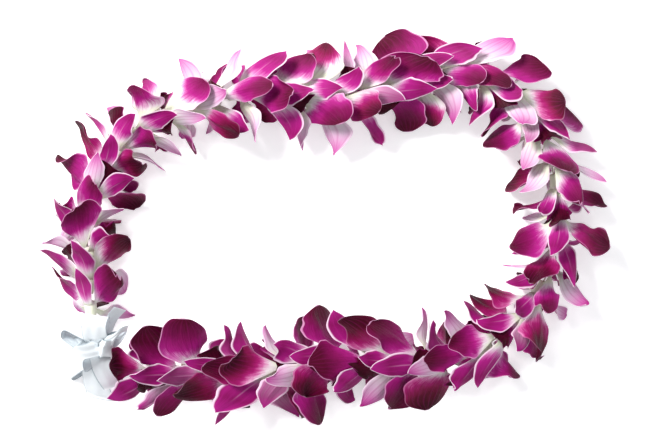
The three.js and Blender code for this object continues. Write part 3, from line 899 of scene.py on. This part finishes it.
def sepal_finish():
    """White base, pale margin and tip round a magenta middle, lavender on some."""
    finish = Finish("orchid_sepal", Roughness=0.5, Specular_IOR_Level=0.1)
    uv, u, v = finish.blade()
    tone, back, seed = (finish.attribute(n) for n in ("tone", "back", "seed"))
    side = (v - 0.5).size() * 2.0
    streak = finish.noise(finish.stretched(uv, (2.0, 24.0, 1.0)), 1.5) - 0.5
    fine = finish.noise(finish.stretched(uv, (3.0, 70.0, 1.0)), 1.5) - 0.5
    veins = vein_lines(finish, u, v, 5)
    t = u + tone * 0.2 + streak * 0.24 + fine * 0.14
    deep = finish.ramp(t, [(0.12, THROAT), (0.2, WHITE), (0.32, PINK), (0.42, MAGENTA),
                           (0.75, PURPLE), (1.0, MAGENTA)])
    pale = finish.ramp(t, [(0.14, THROAT), (0.34, WHITE), (0.55, LAVENDER), (0.85, PINK), (1.05, MAGENTA)])
    colour = finish.mix((seed + back * 0.1 - tone * 0.2).step(0.68, 0.86), deep, pale)
    colour = finish.mix(veins * 0.3 * u.step(0.1, 0.4), colour, MAGENTA)
    edge = (side + u.step(0.9, 1.0) * 0.3).step(0.84, 0.95) * u.step(0.1, 0.3)
    colour = finish.mix(edge * 0.85, colour, RIM_WHITE)
    midline = (1.0 - side * 12.0).at_least(0.0) * u.step(0.1, 0.3) * (1.0 - u.step(0.4, 0.8))
    colour = finish.mix(midline * 0.4, colour, RIM_PINK)
    finish.set("Base Color", colour)
    finish.bump(veins * 0.6 + streak + fine, 0.3, 0.0005)
    return finish.material


def lip_finish():
    """Pale yellow throat, then wine red with darker stripes and a brighter ruffled rim."""
    finish = Finish("orchid_lip", Roughness=0.45, Specular_IOR_Level=0.12)
    uv, u, v = finish.blade()
    tone, seed = finish.attribute("tone"), finish.attribute("seed")
    side = (v - 0.5).size() * 2.0
    streak = finish.noise(finish.stretched(uv, (2.0, 22.0, 1.0)), 1.8) - 0.5
    veins = vein_lines(finish, u, v, 8)
    t = u + tone * 0.1 + streak * 0.25 + (seed - 0.5) * 0.1
    colour = finish.ramp(t, [(0.1, THROAT), (0.22, LAVENDER), (0.34, MAGENTA), (0.55, CRIMSON), (1.0, WINE)])
    colour = finish.mix(veins * 0.5 * u.step(0.1, 0.4), colour, WINE)
    colour = finish.mix(side.step(0.85, 1.0) * 0.5, colour, MAGENTA)
    finish.set("Base Color", colour)
    finish.bump(veins + streak, 0.3, 0.0005)
    return finish.material


def neck_finish():
    """Greenish white flesh with faint green ribs, blushed towards the tepals, brown at the scar."""
    finish = Finish("orchid_neck", Roughness=0.5, Specular_IOR_Level=0.2)
    _, u, v = finish.blade()
    tone = finish.attribute("tone")
    cloud = finish.noise(finish.place(), 220.0)
    ribs = (v * (2 * PI * 6)).sine() * 0.5 + 0.5
    colour = finish.mix(ribs * 0.25, THROAT, srgb(206, 216, 182))
    colour = finish.mix((u + cloud * 0.3 + tone * 0.2).step(0.75, 1.15) * 0.5, colour, LAVENDER)
    colour = finish.mix((1.0 - (u + cloud * 0.06).step(0.03, 0.09)) * 0.9, colour, SCAR)
    finish.set("Base Color", colour)
    finish.bump(ribs * 0.5 + cloud, 0.2, 0.0004)
    return finish.material


def column_finish():
    """White column, purple towards its hood, with a pale cap at the end."""
    finish = Finish("orchid_column", Roughness=0.4)
    _, u, _ = finish.blade()
    cloud = finish.noise(finish.place(), 400.0)
    colour = finish.ramp(u + cloud * 0.15, [(0.1, THROAT), (0.45, WHITE), (0.7, PINK), (0.84, MAGENTA),
                                            (0.93, WHITE)])
    finish.set("Base Color", colour)
    finish.bump(cloud, 0.2, 0.0003)
    return finish.material


def string_finish():
    """Off-white cotton with fine fibres."""
    finish = Finish("cotton_twine", Roughness=0.9)
    fibres = finish.noise(finish.place(), 2500.0)
    finish.set("Base Color", finish.mix(fibres, srgb(214, 208, 194), srgb(246, 243, 234)))
    finish.bump(fibres, 0.5, 0.0002)
    return finish.material


def ribbon_finish():
    """White satin with a fine rib across it, painted shade that darkens and cools its back face inside the
    loops, and painted shade as a darker line along both edges, whose bump gives a woven edge.
    """
    finish = Finish("white_satin", Sheen_Weight=0.1, Anisotropic=0.4)
    _, u, v = finish.blade()
    side = (v - 0.5).size() * 2.0
    rib = (u * 900.0).sine() * 0.5 + 0.5
    cloud = finish.noise(finish.place(), 60.0)
    colour = finish.mix(cloud, srgb(216, 224, 229), srgb(236, 240, 243))
    # Painted shade: the back face, inside the loops, is mixed towards a darker grey blue.
    colour = finish.mix(finish.attribute("back") * 0.35, colour, srgb(172, 186, 196))
    # Painted shade: a darker grey blue line along both edges of the ribbon.
    colour = finish.mix(side.step(0.93, 0.97) * 0.7, colour, srgb(150, 166, 174))
    finish.set("Base Color", colour)
    finish.set("Roughness", cloud * 0.1 + 0.25)
    finish.bump(rib * 0.4 + side.step(0.93, 0.96), 0.15, 0.0002)
    return finish.material


def paper_finish():
    """Smooth white backdrop paper."""
    finish = Finish("white_backdrop", Roughness=0.9, Emission_Color=srgb(255, 255, 255),
                    Emission_Strength=0.36)
    grain = finish.noise(finish.place(), 400.0)
    finish.set("Base Color", finish.mix(grain, srgb(248, 248, 250), srgb(253, 253, 254)))
    finish.bump(grain, 0.05, 0.0001)
    return finish.material


# ---------------------------------------------------------------- stage

def make_floor():
    """Level paper just under the lei: a flat grid of points."""
    half, count, gap = 2.5, 41, 0.0002
    x, y = np.meshgrid(np.linspace(-half, half, count), np.linspace(-half, half, count), indexing="ij")
    z = np.full_like(x, -gap)
    mesh = bpy.data.meshes.new("paper")
    points = np.stack([x, y, z], axis=-1).reshape(-1, 3)
    mesh.from_pydata(points, [], grid_faces(count, count))
    mesh.polygons.foreach_set("use_smooth", np.ones(len(mesh.polygons), bool))
    mesh.materials.append(paper_finish())
    mesh.update()
    floor = bpy.data.objects.new("paper", mesh)
    bpy.context.scene.collection.objects.link(floor)


def aim(obj, place, target, roll_up=(0, 1, 0)):
    """Puts a lamp or camera at a place, looking at the target, its upper side towards roll_up."""
    back = np.array(place, float) - np.array(target, float)
    back /= np.linalg.norm(back)
    right = np.cross(roll_up, back)
    right /= np.linalg.norm(right)
    up = np.cross(back, right)
    rows = [[right[i], up[i], back[i], place[i]] for i in range(3)] + [[0, 0, 0, 1]]
    obj.matrix_world = Matrix(rows)


def add_lamp(name, place, size, power, colour):
    """Round area lamp at a place, aimed at the lei's middle."""
    lamp = bpy.data.lights.new(name, "AREA")
    lamp.shape = "DISK"
    lamp.size = size
    lamp.energy = power
    lamp.color = colour
    obj = bpy.data.objects.new(name, lamp)
    bpy.context.scene.collection.objects.link(obj)
    aim(obj, place, (0, 0, 0))


def make_light():
    """A broad soft lamp from the upper left, a weaker one opposite, and an even bright sky."""
    add_lamp("window", (-0.9, 0.85, 1.3), 0.7, 47, (1.0, 0.99, 0.97))
    add_lamp("fill", (0.7, -0.5, 1.8), 1.8, 5, (0.96, 0.98, 1.0))
    world = bpy.data.worlds.new("studio")
    world.use_nodes = True
    world.node_tree.nodes["Background"].inputs["Color"].default_value = (0.97, 0.98, 1.0, 1.0)
    world.node_tree.nodes["Background"].inputs["Strength"].default_value = 0.57
    bpy.context.scene.world = world


def make_camera():
    """Straight above, so that the string's plane has the photograph's scale and place."""
    pixel = np.array([PHOTO_WIDTH / 2, PHOTO_HEIGHT / 2]) - ROUTE_ORIGIN_PIXEL
    centre = (np.array([pixel[0], -pixel[1]]) * MM_PER_PIXEL - MIDDLE_OF_LEI) * MM
    distance = PHOTO_WIDTH * MM_PER_PIXEL * MM * LENS / SENSOR
    camera = bpy.data.cameras.new("camera")
    camera.lens = LENS
    camera.sensor_width = SENSOR
    camera.clip_end = 20
    obj = bpy.data.objects.new("camera", camera)
    bpy.context.scene.collection.objects.link(obj)
    height = STRING_HEIGHT * MM
    aim(obj, (centre[0], centre[1], height + distance), (centre[0], centre[1], height))
    bpy.context.scene.camera = obj


make_camera()
make_light()
make_floor()
make_blooms([petal_finish(), sepal_finish(), lip_finish(), neck_finish(), column_finish()])
make_string(string_finish())
make_bow(ribbon_finish())
bpy.context.scene.view_settings.view_transform = "Standard"
